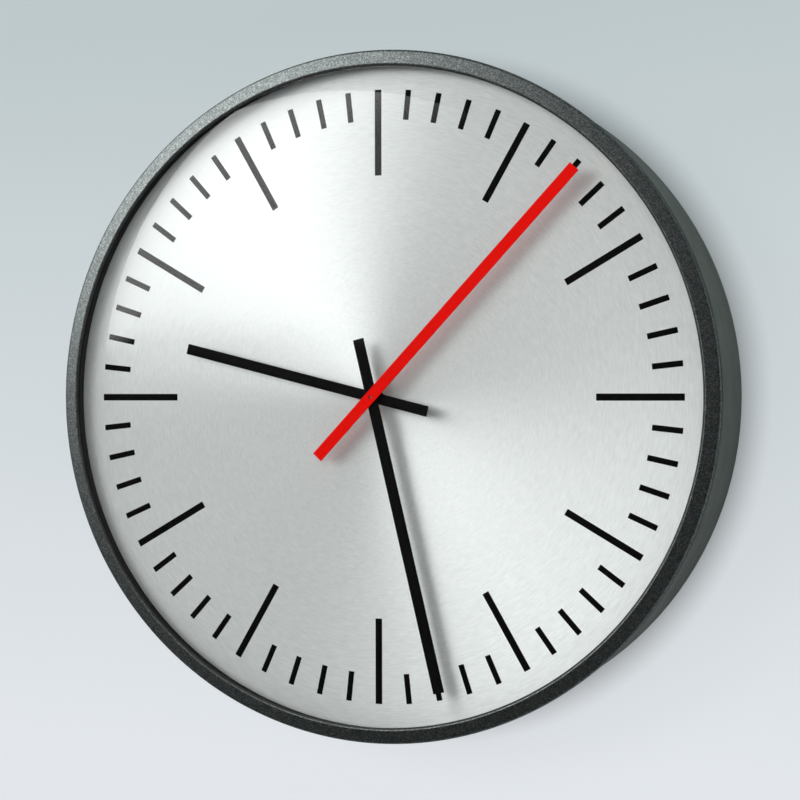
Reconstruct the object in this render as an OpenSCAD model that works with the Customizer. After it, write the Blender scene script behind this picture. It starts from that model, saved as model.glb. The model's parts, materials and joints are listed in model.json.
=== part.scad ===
// Round wall-mounted slave clock with a brushed dial, three hands and two impulse motors.
// The wall is the plane Y = 0, the clock faces -Y, up is +Z and the hands turn about the Y axis.
// Inside the modules, z is the height above the wall, x points right and y points up.

/* [Front ring] */
// Outer diameter of the front ring
ring_d = 300; // [240:1:380]
// Width of the ring's face
ring_face_w = 6.6; // [5.5:0.1:9]
// How much further the ring's inner lip stands out than its outer edge
ring_rise = 1.7; // [1:0.1:2.5]
// Thickness of the lip over the glass
lip_t = 1.3; // [1:0.1:2]
// Radius of the ring's outer front corner
ring_corner_r = 1.2; // [0.5:0.1:2]
// Length of the ring's outer skirt below its front corner
ring_skirt = 4.9; // [3:0.1:6]

/* [Case] */
// How much the ring stands out past the side of the case
case_step = 0.8; // [0.4:0.1:1.5]
// Width of the dark gap between ring and case
shadow_gap = 1.2; // [0.6:0.1:2]
// Wall of the case
case_wall = 1.5; // [1:0.1:2]
// Floor of the case
case_floor = 2; // [1.5:0.1:3]
// Outer radius of the case's rear corner
case_corner_r = 3; // [2:0.5:4]

/* [Dial] */
// Height of the dial's front above the wall
dial_z = 59.5; // [48:0.5:80]
// Thickness of the dial
dial_t = 1.5; // [1:0.1:2]
// Width of the black spacer ring round the dial
spacer_w = 1.6; // [1.2:0.1:2.5]
// Distance from the spacer ring to the outer ends of the marks
mark_margin = 10.5; // [8:0.5:14]
// Length of the twelve hour bars
hour_mark_l = 37.3; // [30:0.1:45]
// Width of the hour bars
hour_mark_w = 3; // [2:0.1:4]
// Length of the minute marks
minute_mark_l = 13; // [10:0.1:16]
// Width of the minute marks
minute_mark_w = 2.5; // [1.5:0.1:3]
// Thickness of the printed marks
mark_t = 0.08; // [0.05:0.01:0.15]

/* [Glass] */
// Thickness of the glass
glass_t = 1.6; // [1.2:0.1:2.2]
// Slope at which the glass rises from its rim
glass_slope = 32; // [30:1:36]
// Radius of the rounded shoulder of the glass
glass_shoulder_r = 80; // [75:1:90]
// Free space between the second hand's tip and the glass
tip_room = 1; // [0.8:0.1:2]
// Thickness of the rubber gasket under the glass
gasket_t = 0.8; // [0.5:0.1:1]

/* [Hands] */
// Hour shown at rest
shown_hour = 9; // [0:1:11]
// Minute shown at rest
shown_minute = 27.75; // [0:0.25:59.75]
// Second shown at rest
shown_second = 7.2; // [0:0.1:59.9]
// Distance from the hour hand's tip to the outer ends of the marks
hour_hand_gap = 43.6; // [40:0.1:50]
// Length of the hour hand's tail
hour_hand_tail = 25.6; // [20:0.1:32]
// Width of the hour hand
hour_hand_w = 4.6; // [4.4:0.1:6]
// Distance from the minute hand's tip to the outer ends of the marks
minute_hand_gap = 4.1; // [2:0.1:10]
// Length of the minute hand's tail
minute_hand_tail = 25.8; // [20:0.1:32]
// Width of the minute hand
minute_hand_w = 4.8; // [4.4:0.1:6]
// Distance from the second hand's tip to the outer ends of the marks
second_hand_gap = 2.6; // [2:0.1:10]
// Length of the second hand's tail
second_hand_tail = 35.8; // [28:0.1:45]
// Width of the second hand
second_hand_w = 4.9; // [3:0.1:6]
// Thickness of each hand
hand_t = 0.8; // [0.5:0.1:1]
// Height of the hour hand's top above the dial
hour_hand_h = 8.2; // [7.8:0.1:9]
// Free space between two hands
hand_clearance = 0.7; // [0.5:0.1:0.9]

/* [Movement] */
// Thickness of the movement plates
plate_t = 1.5; // [1.2:0.1:2]
// Room between front plate and dial carrier, for the motion work
motion_space = 5.5; // [5.3:0.1:7]
// Room between middle and front plate, for the minute motor
minute_space = 11.5; // [11.2:0.1:14]
// Room between rear and middle plate, for the seconds motor
seconds_space = 10.5; // [10.4:0.1:14]
// Radius of the seconds arbor
seconds_arbor_r = 0.5; // [0.4:0.05:0.6]
// Outer radius of the minute tube
minute_tube_r = 1.1; // [0.95:0.05:1.2]
// Outer radius of the hour tube
hour_tube_r = 1.75; // [1.55:0.05:1.9]
// Radial clearance of running fits
running = 0.05; // [0.03:0.01:0.08]
// Play between meshed teeth
backlash = 0.08; // [0.05:0.01:0.12]

/* [Fixings] */
// Radius of the keyhole's head hole
keyhole_r = 5; // [4.5:0.1:6]
// Radius of the keyhole's slot
keyhole_slot_r = 2.3; // [2:0.1:2.6]
// Distance from the side of the case to the keyhole's head hole
keyhole_inset = 51.7; // [45:0.1:56]
// Half the distance between the lower fixing holes
lower_hole_x = 60; // [40:1:65]
// Distance of the lower fixing holes below the centre
lower_hole_y = 95; // [80:1:98]
// Radius of the lower fixing holes
lower_hole_r = 2.4; // [2:0.1:3]
// Radius of the cable bore in the grommet
cable_r = 4; // [3:0.1:5]
// Distance of the cable inlet below the centre
cable_y = 70; // [65:1:75]
// Thickness of the dial carrier
carrier_t = 2; // [1.8:0.1:3]
// Radius of the dial pillars
pillar_r = 4; // [3.5:0.1:5]
// Radius of the pillar screws
pillar_screw_r = 2; // [1.5:0.1:2.2]

/* [Hidden] */
$fn = 96;
round_fn = 240;

// heights above the wall
carrier_top = dial_z - dial_t;
carrier_bottom = carrier_top - carrier_t;
front_plate_top = carrier_bottom - motion_space;
front_plate_z = front_plate_top - plate_t;
middle_plate_top = front_plate_z - minute_space;
middle_plate_z = middle_plate_top - plate_t;
rear_plate_top = middle_plate_z - seconds_space;
rear_plate_z = rear_plate_top - plate_t;
hour_top = dial_z + hour_hand_h;
minute_top = hour_top + hand_clearance + hand_t;
second_top = minute_top + hand_clearance + hand_t;

// how far cuts run past the faces that they open
past = 1;

// radii
seat = 0.1;
snug = 0.01;
screw_room = 0.1;
ring_r = ring_d / 2;
lip_r = ring_r - ring_face_w;
case_r = ring_r - case_step;
case_in_r = case_r - case_wall;
spigot_r = case_in_r - seat;
spigot_w = 1.4;
spigot_drop = 6.5;
bore_r = spigot_r - spigot_w;
dial_r = bore_r - seat * 2;
spacer_in_r = dial_r - spacer_w;
mark_r = spacer_in_r - mark_margin;
lip_fillet = 0.4;
lip_cover = 0.4;
dial_hole_room = 0.85;
spigot_z = carrier_bottom - spigot_drop;
dial_hole_r = hour_tube_r + dial_hole_room;
keyhole_y = case_in_r - keyhole_inset;
second_tip_r = mark_r - second_hand_gap;

// the dome of the glass: a rounded shoulder that runs into a flatter crown
dome_r = lip_r - lip_cover;
crown_slope = 8;
shoulder_centre = dome_r - glass_shoulder_r * sin(glass_slope);
crown_edge_r = shoulder_centre + glass_shoulder_r * sin(crown_slope);
crown_r = crown_edge_r / sin(crown_slope);
function shoulder_at(slope) = glass_shoulder_r * (cos(slope) - cos(glass_slope));
shoulder_rise = shoulder_at(crown_slope);

// the glass clears the second hand's tip, and the ring holds the glass
tip_slope = asin((norm([second_tip_r, second_hand_w / 2]) - shoulder_centre) / glass_shoulder_r);
glass_seat = second_top + tip_room - shoulder_at(tip_slope);
glass_top = glass_seat + glass_t;
lip_top = glass_top + lip_t;
gasket_z = glass_seat - gasket_t;
ring_edge_z = lip_top - ring_rise;
skirt_z = ring_edge_z - ring_skirt;
case_top = skirt_z - shadow_gap;

// teeth: module and counts of each mesh
pressure_angle = 25;
motor_module = 0.4;
centre_module = 0.5;
hour_module = 0.48;
rotor_teeth = 12;
wheel_teeth = 60;
pinion_teeth = 12;
centre_teeth = 72;
cannon_teeth = 12;
motion_teeth = 36;
motion_pinion_teeth = 10;
hour_teeth = 40;
addendum = 0.8;
dedendum = 1.05;

// arbor places
function polar(r, a) = [r * cos(a), r * sin(a)];
function centre_distance(a, b, m) = (a + b) * m / 2;
motor_distance = centre_distance(wheel_teeth, rotor_teeth, motor_module);
minute_mid_angle = -15;
minute_rotor_angle = -110;
seconds_mid_angle = 195;
seconds_rotor_angle = -70;
motion_angle = 90;
minute_mid = polar(centre_distance(centre_teeth, pinion_teeth, centre_module), minute_mid_angle);
minute_rotor_at = minute_mid + polar(motor_distance, minute_rotor_angle);
seconds_mid = polar(centre_distance(centre_teeth, pinion_teeth, motor_module), seconds_mid_angle);
seconds_rotor_at = seconds_mid + polar(motor_distance, seconds_rotor_angle);
motion_at = polar(centre_distance(cannon_teeth, motion_teeth, centre_module), motion_angle);

// arbors and bushes
arbor_r = 0.9;
rotor_arbor_r = 0.8;
pivot_r = 0.4;
bush_r = 1.6;
centre_bush_r = 3;
centre_bush_rise = 1.1;
stud_r = 0.8;
end_play = 0.2;

// the round holes that lighten each wheel: how many, at which radius and how large
mid_holes = [5, 7, 2.2];
centre_holes = [6, 10, 3.5];
seconds_holes = [6, 8.5, 2.8];
motion_holes = [5, 5.2, 1.6];
hour_holes = [5, 5.6, 1.8];

// heights above the plate on which a motor stands, the same in both motors
post_h = 3.5;
core_t = 2;
stator_t = 2;
wheel_h = 1.9;
wheel_t = 1;
rotor_pinion_h = 1.4;
rotor_pinion_t = 2.1;
magnet_h = 4.9;
magnet_t = 3.2;
mid_pinion_h = 8.1;
mid_pinion_t = [2.6, 2];
centre_wheel_h = 8.7;
centre_wheel_t = 1.2;
centre_hub_r = 2.5;
seconds_wheel_h = 8.5;
seconds_hub_h = 7.5;
seconds_hub_r = 2.2;
rotor_r = 4.5;
air_gap = 0.5;
coil_y = -13;
stator_foot = 6;
stator_l = 25.5;
window_l = 11;
stator_top = post_h + core_t + stator_t;
notch_r = 0.5;
leg_x = 10;
leg_w = 4;
motor_screw_r = 1;
motor_head_r = 1.8;
motor_head_t = 1.1;
post_r = 1.9;
coil_w = 15.2;
core_w = 4;
bobbin_r = 4.2;
bobbin_tube_r = 2.9;
winding_r = 3.9;
flange_t = 0.8;

// heights of the motion work above the front plate
cannon_z = front_plate_top + 1.3;
cannon_t = 2.3;
motion_hub_z = front_plate_top + 0.2;
motion_hub_r = 1.8;
motion_z = front_plate_top + 1.5;
motion_t = 1.2;
motion_pinion_t = 2.5;
hour_z = front_plate_top + 3.8;
hour_t = 1.1;

// the movement's plates and their pillars
plate_x = [-36, 38];
plate_y = [-42, 24];
plate_corner_r = 6;
frame_points = [[-30, 18], [32, 18], [32, -36], [-30, -36]];
frame_screw_r = 1.25;
frame_pillar_r = 2.6;
frame_head_t = 1.6;
head_slot_w = 0.6;
head_slot_depth = 0.6;

// dial pillars, ring screws, hanger and terminal block
pillar_inset = 30;
pillar_circle_r = case_in_r - pillar_inset;
pillar_points = [for (a = [45:90:315]) polar(pillar_circle_r, a)];
windows = 8;
window_room = 3;
window_rim = 7;
window_rib = 4;
window_in = max([for (p = frame_points) norm(p)]) + frame_pillar_r + window_room;
window_out = pillar_circle_r - pillar_screw_r * 2 - window_rim;
window_at = (window_in + window_out) / 2;
window_r = min((window_out - window_in) / 2, window_at * sin(180 / windows) - window_rib);
screw_depth = 10;
screw_l = 9;
ring_screw_angles = [30, 150, 270];
ring_screw_r = 1.5;
ring_screw_drop = 3.4;
ring_screw_z = carrier_bottom - ring_screw_drop;
nut_w = 5;
nut_t = 2.4;
hanger_w = 44;
hanger_l = 46;
hanger_t = 2;
hanger_drop = 16;
keyhole_rise = 12;
rivet_x = 15;
rivet_y = keyhole_y - hanger_drop + hanger_l / 2;
rivet_r = 2;
rivet_head_r = 3.5;
rivet_head_t = 1.2;
rivet_points = [for (side = [-1, 1]) [side * rivet_x, rivet_y]];
hanger_top = case_floor + hanger_t;
grommet_r = cable_r + 4.4;
grommet_flange_r = grommet_r + 2.6;
grommet_flange_t = 1.5;
grommet_neck_r = cable_r + 2.5;
grommet_neck_l = 5.5;
grommet_recess = 0.3;
block_at = [34, -70];
block_w = 30;
block_l = 18;
block_h = 13;
poles = 4;
pole_pitch = 7;
port_h = 6.5;
sleeve_r = 2.6;
sleeve_bore_r = 1;
sleeve_l = block_l - 2;
clamp_r = 1.3;
clamp_play = 0.05;
clamp_head_r = 1.9;
clamp_head_t = 2.2;
clamp_head_z = 0.2;
clamp_slot_w = 0.6;
clamp_slot_depth = 0.8;
block_screw_r = 1.5;
block_screw_depth = 3;
block_screw_points = [for (side = [-1, 1]) [block_at[0] + side * pole_pitch, block_at[1]]];
wire_r = 0.7;
lead_pitch = 4;
lead_hold = 3;
lead_straight = 4;
lead_swing = 8;
lead_gap = 0.05;
// what each coil lead passes on its way from the block to its coil
lead_ways = [
    [[22, -51, 16], [18, -47, 28]],
    [[28, -51, 16], [23, -47, 28]],
    [[32, -53.5, 5.5], [10, -53.5, 5.5], [-5, -50, 16]],
    [[38, -50, 6], [14, -49.5, 6], [0, -47, 17]]
];
wire_z = case_floor + port_h;
wire_mouth_y = block_at[1] + block_l / 2;
function pole_x(i) = block_at[0] + (i - (poles - 1) / 2) * pole_pitch;

// colours
ring_grey = [0.24, 0.26, 0.27];
case_green = [0.29, 0.32, 0.31];
brass = [0.78, 0.62, 0.32];
steel = [0.66, 0.67, 0.68];
silver = [0.86, 0.87, 0.87];
ivory = [0.86, 0.84, 0.78];
black = [0.05, 0.05, 0.05];
lead_red = [0.55, 0.12, 0.1];
carrier_grey = [0.3, 0.3, 0.31];
dial_silver = [0.8, 0.81, 0.81];
clear_glass = [0.8, 0.9, 0.95, 0.25];
core_grey = [0.5, 0.51, 0.52];
copper = [0.72, 0.4, 0.2];
hand_red = [0.9, 0.08, 0.02];

// Stands what is drawn with z as its height above the wall up against the wall
module on_wall() {
    rotate([90, 0, 0]) children();
}

// Turns clockwise from 12 o'clock, as the hands go
module at_angle(a) {
    rotate([0, 0, -a]) children();
}

// Round bar between two heights
module bar(r, z0, z1) {
    translate([0, 0, z0]) cylinder(r = r, h = z1 - z0);
}

// Hole between two heights, cut a little past both
module bore(r, z0, z1) {
    bar(r, z0 - past, z1 + past);
}

// Large disc between two heights
module disc(r, z0, z1) {
    translate([0, 0, z0]) cylinder(r = r, h = z1 - z0, $fn = round_fn);
}

// Tube between two heights
module tube(outer, inner, z0, z1) {
    difference() {
        bar(outer, z0, z1);
        bore(inner, z0, z1);
    }
}

// Large flat ring between two heights
module band(outer, inner, z0, z1) {
    difference() {
        disc(outer, z0, z1);
        disc(inner, z0 - past, z1 + past);
    }
}

// Slotted or plain countersunk screw that points up, with its flat head at z = 0
module countersunk(r, length, slotted = true) {
    difference() {
        union() {
            cylinder(r1 = r * 2, r2 = r, h = r);
            cylinder(r = r, h = length);
        }
        if (slotted) translate([-r * 2, -r / 5, -past]) cube([r * 4, r / 2.5, past + r / 2]);
    }
}

// The hole that a countersunk screw needs
module countersink(r, length) {
    translate([0, 0, -past]) cylinder(r1 = r * 2 + screw_room + past, r2 = r + screw_room, h = r + past);
    bar(r + screw_room, 0, length);
}

// Involute function, in degrees
function inv(a) = tan(a) * 180 / PI - a;

// Half the angle that a tooth fills at radius r
function tooth_half(r, teeth, m) =
    let (pitch_r = teeth * m / 2)
    let (base_r = pitch_r * cos(pressure_angle))
    let (at_pitch = (PI * m - backlash) / 4 / pitch_r * 180 / PI)
    at_pitch + inv(pressure_angle) - inv(acos(min(1, base_r / r)));

// Radii of the points along one flank, from the root to the tip
function flank_radii(teeth, m) =
    let (pitch_r = teeth * m / 2)
    let (root_r = pitch_r - dedendum * m)
    let (low_r = max(root_r, pitch_r * cos(pressure_angle)))
    let (tip_r = pitch_r + addendum * m)
    let (curve = [for (k = [0:3]) low_r + (tip_r - low_r) * k / 3])
    low_r > root_r + snug ? concat([root_r], curve) : curve;

// Outline of a spur gear with involute teeth, with the middle of a tooth at angle 0
function gear_outline(teeth, m) =
    let (radii = flank_radii(teeth, m))
    let (n = len(radii))
    [for (i = [0:teeth - 1], k = [0:2 * n - 1])
        let (r = k < n ? radii[k] : radii[2 * n - 1 - k])
        let (side = k < n ? -1 : 1)
        polar(r, i * 360 / teeth + side * tooth_half(max(r, radii[n - 4]), teeth, m))];

// Angle of a gear's first tooth, for a gear that lies in a direction from the gear that drives it
function mesh_phase(direction, driver_teeth, driver_phase, teeth) =
    let (share = (direction - driver_phase) * driver_teeth / 360)
    direction + 180 - (0.5 - share) * 360 / teeth;

module gear(teeth, m, phase, z0, z1) {
    translate([0, 0, z0]) rotate([0, 0, phase])
        linear_extrude(z1 - z0) polygon(gear_outline(teeth, m));
}

// Round holes that lighten a wheel or plate, from how many, at which radius and how large
module lightening(holes, z0, z1) {
    for (i = [0:holes[0] - 1])
        rotate([0, 0, i * 360 / holes[0]]) translate([holes[1], 0, 0]) bore(holes[2], z0, z1);
}

// Profile of one side of the glass, as radius and height above its rim
function dome_side(z) = concat(
    [for (a = [glass_slope:-2:crown_slope + 2])
        [shoulder_centre + glass_shoulder_r * sin(a), z + shoulder_at(a)]],
    [for (a = [crown_slope:-1:1])
        [crown_r * sin(a), z + shoulder_rise + crown_r * (cos(a) - cos(crown_slope))]],
    [[0, z + shoulder_rise + crown_r * (1 - cos(crown_slope))]]);
function reversed(list) = [for (i = [len(list) - 1:-1:0]) list[i]];

// The case

module keyhole(z0, z1) {
    translate([0, keyhole_y, 0]) bar(keyhole_r, z0, z1);
    translate([-keyhole_slot_r, keyhole_y, z0]) cube([keyhole_slot_r * 2, keyhole_rise, z1 - z0]);
    translate([0, keyhole_y + keyhole_rise, 0]) bar(keyhole_slot_r, z0, z1);
}

module case_profile(r, z0, corner) {
    translate([0, z0 + corner]) square([r, case_top - z0 - corner]);
    translate([0, z0]) square([r - corner, corner]);
    translate([r - corner, z0 + corner]) circle(corner);
}

module rear_case() color(case_green) on_wall() difference() {
    rotate_extrude($fn = round_fn) difference() {
        case_profile(case_r, 0, case_corner_r);
        case_profile(case_in_r, case_floor, case_corner_r - case_wall);
        translate([0, case_top - past]) square([case_in_r, 2 * past]);
    }
    keyhole(-past, case_floor + past);
    for (side = [-1, 1])
        translate([side * lower_hole_x, -lower_hole_y, 0]) bore(lower_hole_r, 0, case_floor);
    translate([0, -cable_y, 0]) bore(grommet_r + snug, 0, case_floor);
    for (p = pillar_points) translate(p) countersink(pillar_screw_r, case_floor + past);
    for (p = rivet_points) translate(p) countersink(rivet_r, case_floor + past);
    for (p = block_screw_points) translate(p) countersink(block_screw_r, case_floor + past);
    for (a = ring_screw_angles)
        at_angle(a) translate([0, case_r, ring_screw_z]) rotate([90, 0, 0])
            countersink(ring_screw_r, case_wall + past);
}

module hanger_plate() color(steel) on_wall() difference() {
    translate([-hanger_w / 2, keyhole_y - hanger_drop, case_floor]) cube([hanger_w, hanger_l, hanger_t]);
    keyhole(case_floor - past, hanger_top + past);
    for (p = rivet_points) translate(p) bore(rivet_r + snug, case_floor, hanger_top);
}

module hanger_rivets() color(silver) on_wall() {
    for (p = rivet_points) translate(p) {
        countersunk(rivet_r, hanger_top, false);
        bar(rivet_head_r, hanger_top, hanger_top + rivet_head_t);
    }
}

module cable_grommet() color(black) on_wall() translate([0, -cable_y, 0]) difference() {
    union() {
        bar(grommet_r, grommet_recess, case_floor);
        bar(grommet_flange_r, case_floor, case_floor + grommet_flange_t);
        bar(grommet_neck_r, case_floor, case_floor + grommet_flange_t + grommet_neck_l);
    }
    bore(cable_r, grommet_recess, case_floor + grommet_flange_t + grommet_neck_l);
}

module terminal_block() color(ivory) on_wall() difference() {
    translate([block_at[0] - block_w / 2, block_at[1] - block_l / 2, case_floor])
        cube([block_w, block_l, block_h]);
    for (i = [0:poles - 1]) {
        translate([pole_x(i), block_at[1] + block_l / 2, wire_z]) rotate([90, 0, 0])
            bore(sleeve_r + snug, 0, block_l);
        translate([pole_x(i), block_at[1], wire_z]) bar(clamp_head_r + seat, 0, block_h);
    }
    for (p = block_screw_points)
        translate(p) bore(block_screw_r + snug, case_floor, case_floor + block_screw_depth - past);
}

module terminal_fixing_screws() color(steel) on_wall() {
    for (p = block_screw_points)
        translate(p) countersunk(block_screw_r, case_floor + block_screw_depth - seat);
}

module terminal_sleeves() color(brass) on_wall() {
    for (i = [0:poles - 1]) difference() {
        translate([pole_x(i), block_at[1] + sleeve_l / 2, wire_z]) rotate([90, 0, 0])
            tube(sleeve_r, sleeve_bore_r, 0, sleeve_l);
        translate([pole_x(i), block_at[1], wire_z]) bar(clamp_r + clamp_play, 0, block_h);
    }
}

module terminal_screws() color(steel) on_wall() {
    for (i = [0:poles - 1]) translate([pole_x(i), block_at[1], wire_z + sleeve_r]) difference() {
        union() {
            bar(clamp_r, -sleeve_r / 2, clamp_head_z);
            bar(clamp_head_r, clamp_head_z, clamp_head_z + clamp_head_t);
        }
        translate([-clamp_head_r, -clamp_slot_w / 2, clamp_head_z + clamp_head_t - clamp_slot_depth])
            cube([clamp_head_r * 2, clamp_slot_w, clamp_slot_depth + past]);
    }
}

// A round wire swept along a smooth curve through points chosen by hand

function along(p, t) = 0.5 * (2 * p[1] + (p[2] - p[0]) * t
    + (2 * p[0] - 5 * p[1] + 4 * p[2] - p[3]) * t * t
    + (3 * p[1] - p[0] - 3 * p[2] + p[3]) * t * t * t);
function smooth_route(points, steps) =
    let (n = len(points))
    let (ends = concat([2 * points[0] - points[1]], points, [2 * points[n - 1] - points[n - 2]]))
    concat([for (i = [0:n - 2], k = [0:steps - 1])
        along([ends[i], ends[i + 1], ends[i + 2], ends[i + 3]], k / steps)], [points[n - 1]]);
function unit(v) = v / norm(v);

module wire(points, r) {
    sides = 8;
    route = smooth_route(points, 4);
    n = len(route);
    aside = [1, 0, 1];
    rings = [for (i = [0:n - 1])
        let (tangent = unit(route[min(i + 1, n - 1)] - route[max(i - 1, 0)]))
        let (u = unit(cross(tangent, aside)))
        let (v = cross(tangent, u))
        for (j = [0:sides - 1]) route[i] + r * (u * cos(j * 360 / sides) + v * sin(j * 360 / sides))];
    skin = [for (i = [0:n - 2], j = [0:sides - 1])
        let (a = i * sides + j)
        let (b = i * sides + (j + 1) % sides)
        each [[a, a + sides, b + sides], [a, b + sides, b]]];
    caps = [for (j = [1:sides - 2])
        each [[0, j, j + 1], [(n - 1) * sides, (n - 1) * sides + j + 1, (n - 1) * sides + j]]];
    polyhedron(points = rings, faces = concat(skin, caps));
}

minute_coil_end = [minute_rotor_at[0], minute_rotor_at[1] + coil_y - winding_r - lead_gap,
                   middle_plate_top + post_h + core_t / 2];
seconds_coil_end = [seconds_rotor_at[0], seconds_rotor_at[1] + coil_y - winding_r - lead_gap,
                    rear_plate_top + post_h + core_t / 2];

module coil_leads() color(lead_red) on_wall() {
    for (i = [0:poles - 1]) {
        coil_end = (i < 2 ? minute_coil_end : seconds_coil_end) + [(i % 2 - 0.5) * lead_pitch, 0, 0];
        wire(concat([[pole_x(i), wire_mouth_y - lead_hold, wire_z]],
                    [[pole_x(i), wire_mouth_y + lead_straight, wire_z]],
                    lead_ways[i], [coil_end - [0, lead_swing, 1], coil_end]), wire_r);
    }
}

// What carries the dial

module dial_pillars() color(silver) on_wall() {
    for (p = pillar_points) translate(p) difference() {
        bar(pillar_r, case_floor, carrier_bottom);
        bore(pillar_screw_r + snug, case_floor, case_floor + screw_depth - past);
        bore(pillar_screw_r + snug, carrier_bottom - screw_depth + past, carrier_bottom);
    }
}

module pillar_back_screws() color(steel) on_wall() {
    for (p = pillar_points) translate(p) countersunk(pillar_screw_r, case_floor + screw_l);
}

module pillar_front_screws() color(steel) on_wall() {
    for (p = pillar_points) translate([p[0], p[1], carrier_top]) rotate([180, 0, 0])
        countersunk(pillar_screw_r, carrier_t + screw_l);
}

module dial_carrier() color(carrier_grey) on_wall() difference() {
    disc(dial_r, carrier_bottom, carrier_top);
    bore(dial_hole_r + seat * 2, carrier_bottom, carrier_top);
    for (p = frame_points) translate(p) bore(frame_screw_r + snug, carrier_bottom, carrier_top);
    for (p = pillar_points) translate([p[0], p[1], carrier_top]) rotate([180, 0, 0])
        countersink(pillar_screw_r, carrier_t + past);
    lightening([windows, window_at, window_r], carrier_bottom, carrier_top);
}

module dial_plate() color(dial_silver) on_wall() difference() {
    disc(dial_r, carrier_top, dial_z);
    bore(dial_hole_r, carrier_top, dial_z);
}

module mark(a, l, w) {
    at_angle(a) translate([-w / 2, mark_r - l, dial_z]) cube([w, l, mark_t]);
}

module hour_marks() color(black) on_wall() {
    for (i = [0:5:59]) mark(i * 6, hour_mark_l, hour_mark_w);
}

module minute_marks() color(black) on_wall() {
    for (i = [0:59]) if (i % 5 != 0) mark(i * 6, minute_mark_l, minute_mark_w);
}

module dial_spacer_ring() color(black) on_wall() band(dial_r, spacer_in_r, dial_z, gasket_z);

module glass_gasket() color(black) on_wall() band(dial_r, spacer_in_r + seat * 2, gasket_z, glass_seat);

module front_glass() color(clear_glass) on_wall() {
    rotate_extrude($fn = round_fn) polygon(concat(
        [[dial_r, glass_seat]], dome_side(glass_seat),
        reversed(dome_side(glass_top)), [[dial_r, glass_top]]));
}

module bezel_ring() color(ring_grey) on_wall() {
    face_angle = atan(ring_rise / ring_face_w);
    corner_z = ring_edge_z - ring_corner_r * tan(45 - face_angle / 2);
    corner = [for (a = [0:15:90 - face_angle])
        [ring_r - ring_corner_r * (1 - cos(a)), corner_z + ring_corner_r * sin(a)]];
    difference() {
        rotate_extrude($fn = round_fn) polygon(concat(
            [[bore_r, spigot_z], [spigot_r, spigot_z], [spigot_r, skirt_z], [ring_r, skirt_z]],
            corner,
            [[lip_r + lip_fillet, lip_top - lip_fillet * tan(face_angle)], [lip_r, lip_top - lip_fillet],
             [lip_r, glass_top], [bore_r, glass_top]]));
        for (a = ring_screw_angles)
            at_angle(a) translate([0, spigot_r, ring_screw_z]) rotate([90, 0, 0])
                bore(ring_screw_r + snug, 0, spigot_w);
    }
}

module ring_screws() color(steel) on_wall() {
    for (a = ring_screw_angles)
        at_angle(a) translate([0, case_r - screw_room / 2, ring_screw_z]) rotate([90, 0, 0])
            countersunk(ring_screw_r, case_wall + seat + spigot_w + nut_t);
}

module ring_nuts() color(steel) on_wall() {
    for (a = ring_screw_angles)
        at_angle(a) translate([0, bore_r - seat, ring_screw_z]) rotate([90, 0, 0]) difference() {
            translate([-nut_w / 2, -nut_w / 2, 0]) cube([nut_w, nut_w, nut_t]);
            bore(ring_screw_r + snug, 0, nut_t);
        }
}

// The movement's frame

module plate_outline() {
    w = plate_x[1] - plate_x[0];
    l = plate_y[1] - plate_y[0];
    r = plate_corner_r;
    translate([plate_x[0] + r, plate_y[0]]) square([w - 2 * r, l]);
    translate([plate_x[0], plate_y[0] + r]) square([w, l - 2 * r]);
    for (x = [plate_x[0] + r, plate_x[1] - r], y = [plate_y[0] + r, plate_y[1] - r])
        translate([x, y]) circle(r);
}

module plate_solid(z0, small, centre_r) {
    difference() {
        translate([0, 0, z0]) linear_extrude(plate_t) plate_outline();
        for (p = frame_points) translate(p) bore(frame_screw_r + screw_room, z0, z0 + plate_t);
        for (p = small) translate(p) bore(bush_r + snug, z0, z0 + plate_t);
        bore(centre_r + snug, z0, z0 + plate_t);
        children();
    }
}

module post_holes(at, z0) {
    for (side = [-1, 1])
        translate([at[0] + side * leg_x, at[1] + coil_y, 0]) bore(motor_screw_r + snug, z0, z0 + plate_t);
}

module rear_plate() color(steel) on_wall()
    plate_solid(rear_plate_z, [seconds_mid, seconds_rotor_at], bush_r)
        post_holes(seconds_rotor_at, rear_plate_z);

module middle_plate() color(steel) on_wall()
    plate_solid(middle_plate_z, [seconds_mid, seconds_rotor_at, minute_mid, minute_rotor_at], centre_bush_r)
        post_holes(minute_rotor_at, middle_plate_z);

module front_plate() color(steel) on_wall()
    plate_solid(front_plate_z, [minute_mid, minute_rotor_at], centre_bush_r)
        translate(motion_at) bore(stud_r + snug, front_plate_z, front_plate_top);

module frame_tubes(z0, z1) {
    for (p = frame_points) translate(p) tube(frame_pillar_r, frame_screw_r + screw_room, z0, z1);
}

module rear_pillars() color(brass) on_wall() frame_tubes(rear_plate_top, middle_plate_z);

module front_pillars() color(brass) on_wall() frame_tubes(middle_plate_top, front_plate_z);

module carrier_spacers() color(brass) on_wall() frame_tubes(front_plate_top, carrier_bottom);

module movement_screws() color(steel) on_wall() {
    for (p = frame_points) translate(p) difference() {
        union() {
            bar(frame_screw_r * 2, rear_plate_z - frame_head_t, rear_plate_z);
            bar(frame_screw_r, rear_plate_z - head_slot_w, carrier_top - screw_room);
        }
        translate([-frame_screw_r * 2, -head_slot_w / 2, rear_plate_z - frame_head_t - past])
            cube([frame_screw_r * 4, head_slot_w, head_slot_depth + past]);
    }
}

module pivot_bush(at, z0) {
    translate(at) tube(bush_r, pivot_r + running, z0, z0 + plate_t);
}

module plate_bushes() color(brass) on_wall() {
    for (at = [seconds_mid, seconds_rotor_at]) {
        pivot_bush(at, rear_plate_z);
        pivot_bush(at, middle_plate_z);
    }
    for (at = [minute_mid, minute_rotor_at]) {
        pivot_bush(at, middle_plate_z);
        pivot_bush(at, front_plate_z);
    }
    pivot_bush([0, 0], rear_plate_z);
    tube(centre_bush_r, minute_tube_r + running, middle_plate_z, middle_plate_top);
}

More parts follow.
